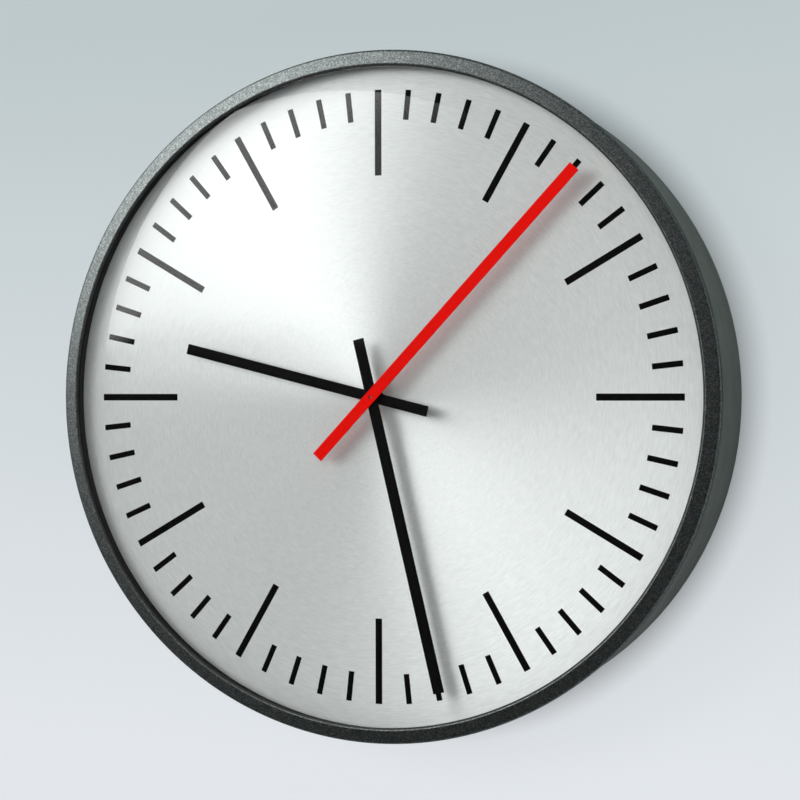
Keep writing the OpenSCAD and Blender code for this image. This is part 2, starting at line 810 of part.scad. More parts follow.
module centre_bush() color(brass) on_wall()
    tube(centre_bush_r, minute_tube_r + running, front_plate_z, front_plate_top + centre_bush_rise);

module motion_stud() color(steel) on_wall() translate(motion_at)
    bar(stud_r, front_plate_z, carrier_bottom - seat);

// The motors: their stators stand on posts, with the coil core between the stator's legs

module stator_outline() {
    difference() {
        translate([-leg_x - leg_w / 2, coil_y - stator_foot])
            square([2 * leg_x + leg_w, stator_l]);
        translate([-leg_x + leg_w / 2, coil_y - stator_foot - past])
            square([2 * leg_x - leg_w, window_l + past]);
        circle(rotor_r + air_gap);
        for (side = [-1, 1]) translate([side * (rotor_r + air_gap), 0]) circle(notch_r);
        for (side = [-1, 1]) translate([side * leg_x, coil_y]) circle(motor_screw_r + snug);
    }
}

module stator(at, plate_top) {
    translate([at[0], at[1], plate_top + post_h + core_t]) linear_extrude(stator_t) stator_outline();
}

module minute_stator() color(steel) on_wall() stator(minute_rotor_at, middle_plate_top);

module seconds_stator() color(steel) on_wall() stator(seconds_rotor_at, rear_plate_top);

// Draws its children once for each motor, with z = 0 on the plate that carries it
module each_motor() {
    translate([minute_rotor_at[0], minute_rotor_at[1] + coil_y, middle_plate_top]) children();
    translate([seconds_rotor_at[0], seconds_rotor_at[1] + coil_y, rear_plate_top]) children();
}

module motor_posts() color(brass) on_wall() each_motor()
    for (side = [-1, 1]) translate([side * leg_x, 0, 0]) tube(post_r, motor_screw_r + snug, 0, post_h);

module motor_screws() color(steel) on_wall() each_motor()
    for (side = [-1, 1]) translate([side * leg_x, 0, 0]) difference() {
        union() {
            bar(motor_screw_r, -plate_t, stator_top);
            bar(motor_head_r, stator_top, stator_top + motor_head_t);
        }
        translate([-motor_head_r, -head_slot_w / 2, stator_top + motor_head_t / 2])
            cube([motor_head_r * 2, head_slot_w, motor_head_t]);
    }

module coil_cores() color(core_grey) on_wall() each_motor() difference() {
    translate([-leg_x - leg_w / 2, -core_w / 2, post_h]) cube([2 * leg_x + leg_w, core_w, core_t]);
    for (side = [-1, 1])
        translate([side * leg_x, 0, 0]) bore(motor_screw_r + snug, post_h, post_h + core_t);
}

module along_coil() {
    translate([-coil_w / 2, 0, post_h + core_t / 2]) rotate([0, 90, 0]) children();
}

module coil_bobbins() color(ivory) on_wall() each_motor() along_coil() difference() {
    union() {
        bar(bobbin_tube_r, 0, coil_w);
        bar(bobbin_r, 0, flange_t);
        bar(bobbin_r, coil_w - flange_t, coil_w);
    }
    translate([-core_t / 2 - seat / 2, -core_w / 2 - seat / 2, -past])
        cube([core_t + seat, core_w + seat, coil_w + 2 * past]);
}

module coil_windings() color(copper) on_wall() each_motor() along_coil()
    tube(winding_r, bobbin_tube_r + snug, flange_t + snug, coil_w - flange_t - snug);

// Turning pieces of the motors

// An arbor with a pivot at each end, between a plate's top and the plate above it
module arbor(r, z0, space) {
    bar(r, z0 + end_play, z0 + space - end_play);
    bar(pivot_r, z0 - plate_t + seat, z0 + space + plate_t - seat);
}

// A wheel and pinion in one piece: the rotor drives the wheel, and the pinion drives the output wheel
module mid_wheel(at, plate_top, space, pinion_m, mid_angle, pinion_t) {
    phase = mesh_phase(mid_angle, centre_teeth, 0, pinion_teeth);
    translate([at[0], at[1], 0]) {
        difference() {
            gear(wheel_teeth, motor_module, 0, plate_top + wheel_h, plate_top + wheel_h + wheel_t);
            lightening(mid_holes, plate_top + wheel_h, plate_top + wheel_h + wheel_t);
        }
        gear(pinion_teeth, pinion_m, phase, plate_top + mid_pinion_h, plate_top + mid_pinion_h + pinion_t);
        arbor(arbor_r, plate_top, space);
    }
}

module rotor(at, plate_top, space, rotor_angle) {
    phase = mesh_phase(rotor_angle, wheel_teeth, 0, rotor_teeth);
    translate([at[0], at[1], 0]) {
        gear(rotor_teeth, motor_module, phase, plate_top + rotor_pinion_h,
             plate_top + rotor_pinion_h + rotor_pinion_t);
        arbor(rotor_arbor_r, plate_top, space);
    }
}

module magnet(at, plate_top) {
    translate([at[0], at[1], 0])
        tube(rotor_r, rotor_arbor_r + snug, plate_top + magnet_h, plate_top + magnet_h + magnet_t);
}

module minute_mid_wheel() color(ivory) on_wall()
    mid_wheel(minute_mid, middle_plate_top, minute_space, centre_module, minute_mid_angle, mid_pinion_t[0]);

module minute_rotor() color(ivory) on_wall()
    rotor(minute_rotor_at, middle_plate_top, minute_space, minute_rotor_angle);

module minute_magnet() color(black) on_wall() magnet(minute_rotor_at, middle_plate_top);

module seconds_mid_wheel() color(ivory) on_wall()
    mid_wheel(seconds_mid, rear_plate_top, seconds_space, motor_module, seconds_mid_angle, mid_pinion_t[1]);

module seconds_rotor() color(ivory) on_wall()
    rotor(seconds_rotor_at, rear_plate_top, seconds_space, seconds_rotor_angle);

module seconds_magnet() color(black) on_wall() magnet(seconds_rotor_at, rear_plate_top);

// Wheels on the clock axis

module centre_wheel() color(brass) on_wall() {
    z0 = middle_plate_top + centre_wheel_h;
    z1 = z0 + centre_wheel_t;
    difference() {
        union() {
            gear(centre_teeth, centre_module, 0, z0, z1);
            bar(centre_hub_r, middle_plate_top + end_play, front_plate_z - end_play);
        }
        bore(minute_tube_r + snug, middle_plate_top, front_plate_z);
        lightening(centre_holes, z0, z1);
    }
}

module minute_tube() color(steel) on_wall() difference() {
    union() {
        bar(minute_tube_r, middle_plate_z + seat, minute_top);
        gear(cannon_teeth, centre_module, 0, cannon_z, cannon_z + cannon_t);
    }
    bore(seconds_arbor_r + running, middle_plate_z, minute_top);
}

motion_phase = mesh_phase(motion_angle, cannon_teeth, 0, motion_teeth);
hour_phase = mesh_phase(motion_angle + 180, motion_pinion_teeth, 0, hour_teeth);

module motion_wheel() color(brass) on_wall() translate([motion_at[0], motion_at[1], 0]) difference() {
    union() {
        gear(motion_teeth, centre_module, motion_phase, motion_z, motion_z + motion_t);
        gear(motion_pinion_teeth, hour_module, 0, motion_z + motion_t, motion_z + motion_t + motion_pinion_t);
        bar(motion_hub_r, motion_hub_z, motion_z + motion_t / 2);
    }
    bore(stud_r + running, front_plate_top, carrier_bottom);
    lightening(motion_holes, motion_z, motion_z + motion_t / 2);
}

module hour_wheel() color(brass) on_wall() difference() {
    union() {
        gear(hour_teeth, hour_module, hour_phase, hour_z, hour_z + hour_t);
        bar(hour_tube_r, hour_z, hour_top);
    }
    bore(minute_tube_r + running, hour_z, hour_top);
    lightening(hour_holes, hour_z, hour_z + hour_t);
}

module seconds_arbor() color(steel) on_wall() {
    bar(pivot_r, rear_plate_z + seat, rear_plate_top + end_play);
    bar(seconds_arbor_r, rear_plate_top + end_play, second_top - hand_t);
}

module seconds_wheel() color(brass) on_wall() {
    z0 = rear_plate_top + seconds_wheel_h;
    z1 = z0 + wheel_t;
    difference() {
        union() {
            gear(centre_teeth, motor_module, 0, z0, z1);
            bar(seconds_hub_r, rear_plate_top + seconds_hub_h, middle_plate_z - end_play);
        }
        bore(seconds_arbor_r + snug, rear_plate_top, middle_plate_z);
        lightening(seconds_holes, z0, z1);
    }
}

// The hands

module hand(a, w, tip, tail, top, hole_r) {
    at_angle(a) difference() {
        translate([-w / 2, -tail, top - hand_t]) cube([w, tip + tail, hand_t]);
        bore(hole_r + snug, top - hand_t, top);
    }
}

hour_bush_wall = 0.45;
hour_bush_l = 4;
bush_wall = 0.9;
bush_gap = 0.2;
dot_room = 0.15;
hour_angle = (shown_hour + shown_minute / 60) * 30;
minute_angle = shown_minute * 6;
second_angle = shown_second * 6;

module hour_hand() color(black) on_wall()
    hand(hour_angle, hour_hand_w, mark_r - hour_hand_gap, hour_hand_tail, hour_top, hour_tube_r);

module hour_hand_bush() color(black) on_wall()
    tube(hour_tube_r + hour_bush_wall, hour_tube_r + snug,
         hour_top - hand_t - hour_bush_l, hour_top - hand_t);

module minute_hand() color(black) on_wall()
    hand(minute_angle, minute_hand_w, mark_r - minute_hand_gap, minute_hand_tail, minute_top, minute_tube_r);

module minute_hand_bush() color(black) on_wall()
    tube(minute_tube_r + bush_wall, minute_tube_r + snug, hour_top + bush_gap, minute_top - hand_t);

// The second hand's hole stays open over the end of its arbor, so that it shows as a dark dot
module second_hand() color(hand_red) on_wall()
    hand(second_angle, second_hand_w, second_tip_r, second_hand_tail, second_top,
         seconds_arbor_r + dot_room);

module second_hand_bush() color(steel) on_wall()
    tube(seconds_arbor_r + bush_wall, seconds_arbor_r + snug, minute_top + bush_gap, second_top - hand_t);

rear_case();
hanger_plate();
hanger_rivets();
cable_grommet();
terminal_block();
terminal_sleeves();
terminal_screws();
terminal_fixing_screws();
coil_leads();
dial_pillars();
pillar_back_screws();
pillar_front_screws();
dial_carrier();
dial_plate();
hour_marks();
minute_marks();
dial_spacer_ring();
glass_gasket();
front_glass();
bezel_ring();
ring_screws();
ring_nuts();
rear_plate();
middle_plate();
front_plate();
rear_pillars();
front_pillars();
carrier_spacers();
movement_screws();
plate_bushes();
centre_bush();
motor_posts();
motor_screws();
minute_stator();
seconds_stator();
coil_cores();
coil_bobbins();
coil_windings();
motion_stud();
centre_wheel();
minute_tube();
minute_hand_bush();
minute_hand();
minute_mid_wheel();
minute_rotor();
minute_magnet();
motion_wheel();
hour_wheel();
hour_hand_bush();
hour_hand();
seconds_arbor();
seconds_wheel();
second_hand_bush();
second_hand();
seconds_mid_wheel();
seconds_rotor();
seconds_magnet();
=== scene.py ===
# %% [markdown]
# A round wall clock, 300 mm across: a painted ring and case, a domed glass, a brushed dial and three hands.
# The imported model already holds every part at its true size. This script keeps the parts whose shape is
# right, makes finer ones where the eye comes close, and gives every surface its finish.

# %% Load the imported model
import json
import math

import bmesh
import bpy
from mathutils import Matrix, Vector


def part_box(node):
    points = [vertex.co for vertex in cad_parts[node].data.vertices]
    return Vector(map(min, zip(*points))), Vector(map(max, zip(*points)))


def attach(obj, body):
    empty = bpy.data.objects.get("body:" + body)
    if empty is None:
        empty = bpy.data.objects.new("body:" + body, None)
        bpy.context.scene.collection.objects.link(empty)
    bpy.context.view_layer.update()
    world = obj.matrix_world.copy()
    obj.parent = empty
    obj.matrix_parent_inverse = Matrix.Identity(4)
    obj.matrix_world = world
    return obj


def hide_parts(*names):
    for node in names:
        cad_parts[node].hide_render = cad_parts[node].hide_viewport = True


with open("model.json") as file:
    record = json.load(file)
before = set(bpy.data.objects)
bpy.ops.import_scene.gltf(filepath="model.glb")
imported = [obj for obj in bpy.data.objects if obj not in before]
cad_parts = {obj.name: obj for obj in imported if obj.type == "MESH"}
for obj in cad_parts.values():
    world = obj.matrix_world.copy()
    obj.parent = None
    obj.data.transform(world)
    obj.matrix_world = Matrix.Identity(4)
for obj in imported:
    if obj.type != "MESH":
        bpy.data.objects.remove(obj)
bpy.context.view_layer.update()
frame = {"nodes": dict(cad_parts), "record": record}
nodes = frame["nodes"]
print("CAD nodes:", len(nodes))

# %% [markdown]
# Sizes are in metres, the wall is the plane Y = 0 and the clock faces -Y. The heights and radii that a
# finer piece needs could be typed in again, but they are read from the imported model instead, so that the
# piece sits exactly where the CAD part was.

# %% Read the main heights and radii
MM = 0.001
dial_front = -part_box("dial_plate")[0].y
ring_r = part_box("bezel_ring")[1].x
ring_top = -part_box("bezel_ring")[0].y
ring_foot = -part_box("bezel_ring")[1].y
glass_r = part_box("front_glass")[1].x
glass_seat = -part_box("front_glass")[1].y
glass_apex = -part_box("front_glass")[0].y
print("dial front", dial_front, "ring", ring_r, ring_top, "glass", glass_r, glass_seat, glass_apex)

# %% [markdown]
# The camera stands where the photo was taken: a little to the right of the clock and level with its centre.
# It could be moved by eye until the picture fits. Here its place was worked out from the sixty marks,
# because they lie at known angles on one flat disc. The lens is given as a focal length in pixels of a
# picture 800 pixels wide.

# %% Stand the camera
PICTURE_W = 800
SENSOR_W = 36.0
focal_px = 1799.68
nearest_seen = 0.01
view_azimuth = math.radians(18.717)
view_elevation = math.radians(0.287)
view_roll = math.radians(-0.08)
view_distance = 0.7848
view_aside = -0.009373
view_above = 0.001241

camera_data = bpy.data.cameras.new("camera")
camera_data.sensor_width = SENSOR_W
camera_data.lens = focal_px * SENSOR_W / PICTURE_W
camera_data.clip_start = nearest_seen
camera = bpy.data.objects.new("camera", camera_data)
bpy.context.scene.collection.objects.link(camera)
turn = (Matrix.Rotation(view_azimuth, 4, "Z") @ Matrix.Rotation(math.pi / 2 - view_elevation, 4, "X")
        @ Matrix.Rotation(view_roll, 4, "Z"))
stand = Vector((0, -dial_front, 0)) + turn @ Vector((-view_aside, -view_above, view_distance))
camera.matrix_world = Matrix.Translation(stand) @ turn
bpy.context.scene.camera = camera
bpy.context.scene.view_settings.view_transform = "Standard"
print("camera at", [round(v, 4) for v in stand], "lens", round(camera_data.lens, 2))

# %% [markdown]
# Every finish is a small net of shader nodes. Made and linked by hand, each node takes several lines, so
# tool() does it in one: an input that is given a socket is linked, and any other is set.

# %% A helper that adds a shader node


def tool(material, kind, inputs=None, **settings):
    """Adds a shader node with its settings, and links or sets its inputs."""
    tree = material.node_tree
    made = tree.nodes.new("ShaderNode" + kind)
    for name, value in settings.items():
        setattr(made, name, value)
    for name, value in (inputs or {}).items():
        if isinstance(value, bpy.types.NodeSocket):
            tree.links.new(value, made.inputs[name])
        else:
            made.inputs[name].default_value = value
    return made


# %% [markdown]
# A finish starts with the plain values of its main shader, which hold all over the piece, and then only says
# what varies. A finished one is kept under its name, because several parts can share it.

# %% Helpers that start and keep a finish
finishes = {}


def start_finish(name, colour, metallic=0.0, roughness=0.5):
    """A material whose main shader has these plain values."""
    material = bpy.data.materials.new(name)
    material.use_nodes = True
    shader = material.node_tree.nodes["Principled BSDF"]
    shader.inputs["Base Color"].default_value = (*colour, 1)
    shader.inputs["Metallic"].default_value = metallic
    shader.inputs["Roughness"].default_value = roughness
    return material, shader


def wire_up(material, shader, **patterns):
    """Links patterns to the main shader's inputs, named with _ for a space."""
    for name, socket in patterns.items():
        material.node_tree.links.new(socket, shader.inputs[name.replace("_", " ")])


def show_mix(material, share, first, second):
    """Shows a mix of two shaders as the material's surface."""
    mix = tool(material, "MixShader", {0: share, 1: first, 2: second})
    surface = material.node_tree.nodes["Material Output"].inputs["Surface"]
    material.node_tree.links.new(mix.outputs[0], surface)


def keep(slot, material):
    """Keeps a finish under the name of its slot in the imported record."""
    finishes[slot] = material
    print(slot, "has", len(material.node_tree.nodes), "shader nodes")


# %% [markdown]
# A pattern is a number at each point of a surface. It could be laid over the picture, but then it would
# slide when the view changes. Here it always comes from the piece's own coordinates, so it stays on the
# piece, also when a hand turns. The simplest pattern is a noise, and arithmetic changes it.

# %% Helpers that make a pattern


def place(material):
    """The coordinates of the object itself."""
    return tool(material, "TexCoord").outputs["Object"]


def grain(material, at, scale, detail=2.0, roughness=0.5):
    """Noise with this many lumps per metre."""
    settings = {"Vector": at, "Scale": scale, "Detail": detail, "Roughness": roughness}
    return tool(material, "TexNoise", settings).outputs["Fac"]


def reckon(material, operation, first, second):
    """One step of arithmetic on a pattern, such as ADD or MULTIPLY."""
    return tool(material, "Math", {0: first, 1: second}, operation=operation).outputs[0]


# %% [markdown]
# A shader wants plain numbers for its gloss, a colour for its paint and a direction for its relief. These
# helpers turn a pattern into each of them. A noise rarely comes near 0 or 1, so its middle range is what
# they stretch unless they are told otherwise.

# %% Helpers that use a pattern
NOISE_LOW = 0.3
NOISE_HIGH = 0.7
# A Mix node has sockets for each kind of value. These are the ones for colours.
MIX_SHARE = 0
MIX_FIRST = 6
MIX_SECOND = 7
MIX_RESULT = 2


def between(material, value, low, high, start=NOISE_LOW, end=NOISE_HIGH):
    """Maps a pattern's value, from start to end, to plain numbers from low to high."""
    settings = {"Value": value, "From Min": start, "From Max": end, "To Min": low, "To Max": high}
    return tool(material, "MapRange", settings).outputs["Result"]


def shade(material, value, dark, light, start=NOISE_LOW, end=NOISE_HIGH):
    """Turns a pattern's value, from start to end, into a colour between two colours."""
    share = between(material, value, 0, 1, start, end)
    colours = {MIX_SHARE: share, MIX_FIRST: (*dark, 1), MIX_SECOND: (*light, 1)}
    return tool(material, "Mix", colours, data_type="RGBA").outputs[MIX_RESULT]


def relief(material, height, depth):
    """A bump from a pattern, with its depth in metres."""
    return tool(material, "Bump", {"Height": height, "Distance": depth, "Strength": 1.0}).outputs["Normal"]


# %% [markdown]
# The ring has a coarse metallic paint, with flakes of under half a millimetre that catch the light one by
# one. A noise alone would give soft clouds. So the flakes are the cells of a Voronoi pattern, which gives
# each cell a random value of its own, and a power makes most cells dark and a few bright. A noise is used
# as well, for the soft lumps in the thick paint.

# %% Paint the ring
ring_lumps = 1500
lump_depth = 0.04 * MM
ring_flakes = 2600
flake_rarity = 2.5
flake_dark = (0.118, 0.133, 0.131)
flake_light = (0.34, 0.375, 0.368)


def dots(material, at, scale):
    """A random value from 0 to 1 for each tiny cell, with this many cells per metre."""
    cells = tool(material, "TexVoronoi", {"Vector": at, "Scale": scale})
    return tool(material, "SeparateXYZ", {0: cells.outputs["Color"]}).outputs["X"]


def ring_finish():
    material, shader = start_finish("ring_paint", (0.16, 0.18, 0.177), metallic=0.97, roughness=0.47)
    shader.inputs["Specular Tint"].default_value = (0.02, 0.022, 0.022, 1)
    at = place(material)
    lumps = grain(material, at, ring_lumps, detail=2.0, roughness=0.7)
    flakes = reckon(material, "POWER", dots(material, at, ring_flakes), flake_rarity)
    wire_up(material, shader,
            Base_Color=shade(material, flakes, flake_dark, flake_light, start=0.0, end=1.0),
            Roughness=between(material, lumps, 0.43, 0.51),
            Normal=relief(material, lumps, lump_depth))
    return material


keep("ring_paint", ring_finish())

# %% [markdown]
# The case has a smoother paint in a dark, slightly green grey, without lumps or metal in it. One flat colour
# would look like plastic. So very small cells give it a faint speckle, a slow noise makes some places a
# little glossier than others, and the surface has the lightest relief.

# %% Paint the case
case_speckles = 3400
speckle_dark = (0.034, 0.043, 0.036)
speckle_light = (0.053, 0.065, 0.055)
case_clouds = 60
case_grains = 2400
case_depth = 0.01 * MM
case_shine = 0.03


def case_finish():
    material, shader = start_finish("case_paint", (0.051, 0.059, 0.053), metallic=0.0, roughness=0.5)
    shader.inputs["Specular IOR Level"].default_value = case_shine
    at = place(material)
    speckles = dots(material, at, case_speckles)
    clouds = grain(material, at, case_clouds)
    grains = grain(material, at, case_grains, detail=1.0)
    wire_up(material, shader,
            Base_Color=shade(material, speckles, speckle_dark, speckle_light, start=0.0, end=1.0),
            Roughness=between(material, clouds, 0.46, 0.54),
            Normal=relief(material, grains, case_depth))
    return material


keep("case_paint", case_finish())

# %% [markdown]
# The dial is aluminium, brushed while it turned, so the scratches run round the centre. Such a surface
# spreads light across its scratches: the highlight becomes bright fans that meet at the centre. The fans
# could be painted on, but they would then stay in place when the light changes. The shader makes them by
# itself once its tangent points straight outwards, across the scratches. The real fans lie a little off the
# place that true circles give, as if the scratches wound inwards, so Anisotropic Rotation turns the tangent
# by about twelve degrees. The fine lines are a noise that is squeezed across the scratches and stretched
# along them.

# %% Brush the dial
scratches_across = 1500
scratches_along = 24
scratch_dark = (0.85, 0.86, 0.86)
scratch_light = (0.98, 0.99, 0.985)
fan_turn = 0.968


def dial_finish():
    material, shader = start_finish("dial_metal", (0.93, 0.94, 0.94), metallic=0.63, roughness=0.5)
    shader.inputs["Anisotropic"].default_value = 1.0
    shader.inputs["Anisotropic Rotation"].default_value = fan_turn
    at = place(material)
    flat = tool(material, "VectorMath", {0: at, 1: (1, 0, 1)}, operation="MULTIPLY").outputs[0]
    outwards = tool(material, "VectorMath", {0: flat}, operation="NORMALIZE").outputs[0]
    radius = tool(material, "VectorMath", {0: flat}, operation="LENGTH").outputs["Value"]
    across = reckon(material, "MULTIPLY", radius, scratches_across)
    along = tool(material, "VectorMath", {0: outwards, "Scale": scratches_along}, operation="SCALE")
    way = tool(material, "SeparateXYZ", {0: along.outputs[0]}).outputs
    spread = tool(material, "CombineXYZ", {"X": across, "Y": way["X"], "Z": way["Z"]}).outputs[0]
    lines = grain(material, spread, 1.0, detail=3.0, roughness=0.7)
    wire_up(material, shader,
            Base_Color=shade(material, lines, scratch_dark, scratch_light),
            Roughness=between(material, lines, 0.46, 0.54),
            Tangent=outwards)
    return material


keep("dial_metal", dial_finish())

# %% [markdown]
# The marks are screen-printed in matt black, and the hands are thin sheet metal with a matt powder coat,
# two black and one red. The black wall round the dial and the carrier behind it have a coarser coat. All of
# them could be one flat colour each, but a very fine grain in colour, gloss and height makes them look
# coated.

# %% Print the marks and coat the hands
coat_shine = 0.04
coat_gloss_range = 0.05


def fine_coat(name, dark, light, roughness, grains, depth):
    material, shader = start_finish(name, light, metallic=0.0, roughness=roughness)
    shader.inputs["Specular IOR Level"].default_value = coat_shine
    coat = grain(material, place(material), grains, detail=3.0)
    wire_up(material, shader,
            Base_Color=shade(material, coat, dark, light),
            Roughness=between(material, coat, roughness - coat_gloss_range, roughness + coat_gloss_range),
            Normal=relief(material, coat, depth))
    return material


# Each line has: name, dark colour, light colour, roughness, grains per metre, and their height.
for coat in [
        ("dial_ink", (0.001, 0.001, 0.001), (0.002, 0.002, 0.002), 0.55, 3000, 0.004 * MM),
        ("hand_black", (0.0015, 0.0015, 0.0015), (0.003, 0.003, 0.003), 0.5, 2600, 0.006 * MM),
        ("hand_red", (0.53, 0.002, 0.0005), (0.6, 0.003, 0.001), 0.45, 2600, 0.006 * MM),
        ("black_ring", (0.004, 0.004, 0.004), (0.008, 0.008, 0.008), 0.5, 700, 0.01 * MM),
        ("carrier_paint", (0.06, 0.06, 0.064), (0.085, 0.085, 0.09), 0.6, 1400, 0.02 * MM)]:
    keep(coat[0], fine_coat(*coat))

# %% [markdown]
# The glass is clear and hard. Each crossing reflects a few percent of the studio, more at a shallow angle,
# and lets the rest straight through. Real refraction would do that too, but it is noisy, and it darkens
# what lies behind. A mix of a mirror and a clear shader, driven by Fresnel, gives the same look. The whole
# reflection is taken at the outer face.

# %% Clear the glass
glass_ior = 1.4
glass_tint = (0.985, 0.995, 0.99, 1)


def glass_finish():
    material, shader = start_finish("clear_glass", (1, 1, 1), metallic=1.0, roughness=0.03)
    inner_face = tool(material, "NewGeometry").outputs["Backfacing"]
    outer_face = reckon(material, "SUBTRACT", 1.0, inner_face)
    mirror = tool(material, "Fresnel", {"IOR": glass_ior}).outputs[0]
    share = reckon(material, "MULTIPLY", mirror, outer_face)
    clear = tool(material, "BsdfTransparent", {"Color": glass_tint}).outputs[0]
    show_mix(material, share, clear, shader.outputs[0])
    return material


keep("glass", glass_finish())

# %% [markdown]
# Inside the clock are turned brass, plated steel and soft iron. They could share one grey, but each metal
# has its own colour and its own way of being worked. A noise gives the fine marks in colour, gloss and
# height, and stretching it along one axis turns marks into scratches, as on a drawn rod or a rolled sheet.

# %% Finish the metal inside
dull_share = 0.82
smooth_share = 0.8
rough_share = 1.25
mark_depth = 0.008 * MM


def metal(name, colour, roughness, scratch, spots):
    material, shader = start_finish(name, colour, metallic=1.0, roughness=roughness)
    at = tool(material, "Mapping", {"Vector": place(material), "Scale": scratch}).outputs[0]
    marks = grain(material, at, spots, detail=4.0, roughness=0.6)
    dull = [c * dull_share for c in colour]
    wire_up(material, shader,
            Base_Color=shade(material, marks, dull, colour),
            Roughness=between(material, marks, roughness * smooth_share, roughness * rough_share),
            Normal=relief(material, marks, mark_depth))
    return material


# Each line has: name, colour, roughness, squeeze of the marks along X, Y and Z, and marks per metre.
for piece_metal in [
        ("steel", (0.56, 0.57, 0.58), 0.28, (1, 1, 8), 900),
        ("zinc", (0.66, 0.68, 0.7), 0.35, (1, 1, 1), 500),
        ("brass", (0.72, 0.5, 0.18), 0.24, (1, 6, 1), 900),
        ("nickel", (0.68, 0.65, 0.6), 0.25, (1, 1, 12), 900),
        ("core_iron", (0.3, 0.31, 0.32), 0.45, (1, 1, 1), 700)]:
    keep(piece_metal[0], metal(*piece_metal))

# %% [markdown]
# The gasket and the grommet are rubber. The bobbins, the terminal block, the lighter wheels, the leads and
# the magnets are plastic or look like it. Moulded parts are never quite even, so a slow noise shifts their
# colour a little, and a finer one gives the faint orange-peel surface that they take from the mould.

# %% Finish the rubber and plastic
plastic_clouds = 90
peel_lumps = 700
peel_gloss_range = 0.06
peel_depth = 0.01 * MM


def plastic(name, dark, light, roughness):
    material, shader = start_finish(name, light, metallic=0.0, roughness=roughness)
    at = place(material)
    peel = grain(material, at, peel_lumps)
    wire_up(material, shader,
            Base_Color=shade(material, grain(material, at, plastic_clouds), dark, light),
            Roughness=between(material, peel, roughness - peel_gloss_range, roughness + peel_gloss_range),
            Normal=relief(material, peel, peel_depth))
    return material


# Each line has: name, dark colour, light colour, and roughness.
for moulded in [
        ("black_rubber", (0.012, 0.012, 0.012), (0.022, 0.022, 0.022), 0.7),
        ("ivory_plastic", (0.66, 0.63, 0.53), (0.74, 0.7, 0.6), 0.4),
        ("lead_plastic", (0.36, 0.02, 0.012), (0.45, 0.028, 0.016), 0.4),
        ("magnet_black", (0.02, 0.02, 0.022), (0.045, 0.045, 0.05), 0.5)]:
    keep(moulded[0], plastic(*moulded))

# %% [markdown]
# The coils are enamelled copper wire, wound side by side along X. Hundreds of turns could be modelled, but
# nobody sees them one by one. Bands of a wave pattern give the same ridges on a plain body: raised on the
# turns, and darker between them as painted shade in the grooves.

# %% Wind the copper wire
wire_waves = 1300
wire_height = 0.06 * MM
# The copper between the turns is darker as painted shade in the grooves.
shaded_groove_copper = (0.3, 0.09, 0.03)
ridge_copper = (0.66, 0.26, 0.1)


def winding_finish():
    material, shader = start_finish("copper_wire", (0.6, 0.22, 0.08), metallic=0.85, roughness=0.3)
    wave = {"Vector": place(material), "Scale": wire_waves, "Distortion": 0.6, "Detail": 1.0}
    turns = tool(material, "TexWave", wave, wave_type="BANDS", bands_direction="X", wave_profile="SIN")
    ridge = turns.outputs["Fac"]
    wire_up(material, shader,
            Base_Color=shade(material, ridge, shaded_groove_copper, ridge_copper, start=0.1, end=0.9),
            Normal=relief(material, ridge, wire_height))
    return material


keep("copper_wire", winding_finish())

# %% [markdown]
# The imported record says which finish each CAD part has. Its shape is right already, so the part only gets
# the new finish in place of its plain one.

# %% Put the finishes on the CAD parts
slot_of = {part["node"]: part["material_slot"] for part in frame["record"]["subparts"]}
for name, part in nodes.items():
    part.data.materials.clear()
    part.data.materials.append(finishes[slot_of[name]])
print("finishes:", len(finishes), "on", len(nodes), "parts")

# %% [markdown]
# Each finer piece is built as a bmesh and then becomes an object at the origin, with its place in its mesh,
# as the CAD parts are. Smooth shading hides the faces of a curve, but it would smear over a crisp edge, so
# edges above a certain angle are marked sharp. Every piece also says what it rides on and what it replaces.

# %% Helpers for all new pieces
SHARP_ANGLE = math.radians(40)


def new_piece(name, shape, finish, smooth=True):
    """Turns a finished bmesh into an object at the origin."""
    mesh = bpy.data.meshes.new(name)
    shape.to_mesh(mesh)
    shape.free()
    piece = bpy.data.objects.new(name, mesh)
    bpy.context.scene.collection.objects.link(piece)
    mesh.materials.append(finish)
    if smooth:
        mesh.shade_smooth()
        mesh.set_sharp_from_angle(angle=SHARP_ANGLE)
        piece.modifiers.new("even_normals", "WEIGHTED_NORMAL").keep_sharp = True
    print(name, "has", len(mesh.polygons), "faces")
    return piece


def stand_in(piece, body, slot, *replaced):
    """Hangs a piece on the body it rides on and hides the CAD parts it replaces. The slot is not used."""
    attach(piece, body)
    if replaced:
        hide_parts(*replaced)


def chain(shape, points):
    """Joins points into a closed outline, and returns its corners."""
    made = [shape.verts.new(point) for point in points]
    for a, b in zip(made, made[1:] + made[:1]):
        shape.edges.new((a, b))
    return made


# %% [markdown]
# The ring, the seal and the glass are round. A cylinder could be edited ring by ring, but it is simpler to
# draw the section that a turner would cut, beside the clock's axis, and to spin it once round that axis. The
# section lies in the XY plane: X is the distance from the axis and -Y the height above the wall. Small radii
# are put on its corners before the spin, so they run all the way round.

# %% Helpers for round pieces
SPIN_STEPS = 360
SAME_PLACE = 0.00001 * MM


def outline_of(corners):
    """A closed section with its corners given as distance from the axis and height above the wall."""
    shape = bmesh.new()
    return shape, chain(shape, [(r, -height, 0) for r, height in corners])


def round_corner(shape, corner, radius, segments):
    """Rounds one corner of a section."""
    bmesh.ops.bevel(shape, geom=[corner], offset=radius, offset_type="OFFSET", segments=segments,
                    profile=0.5, affect="VERTICES", material=-1)


def spin_round(shape):
    """Spins a section a full turn round the clock's axis."""
    bmesh.ops.spin(shape, geom=shape.verts[:] + shape.edges[:], cent=(0, 0, 0), axis=(0, 1, 0),
                   angle=2 * math.pi, steps=SPIN_STEPS, use_merge=True)
    bmesh.ops.remove_doubles(shape, verts=shape.verts, dist=SAME_PLACE)
    bmesh.ops.dissolve_degenerate(shape, dist=SAME_PLACE, edges=shape.edges)
    bmesh.ops.recalc_face_normals(shape, faces=shape.faces)


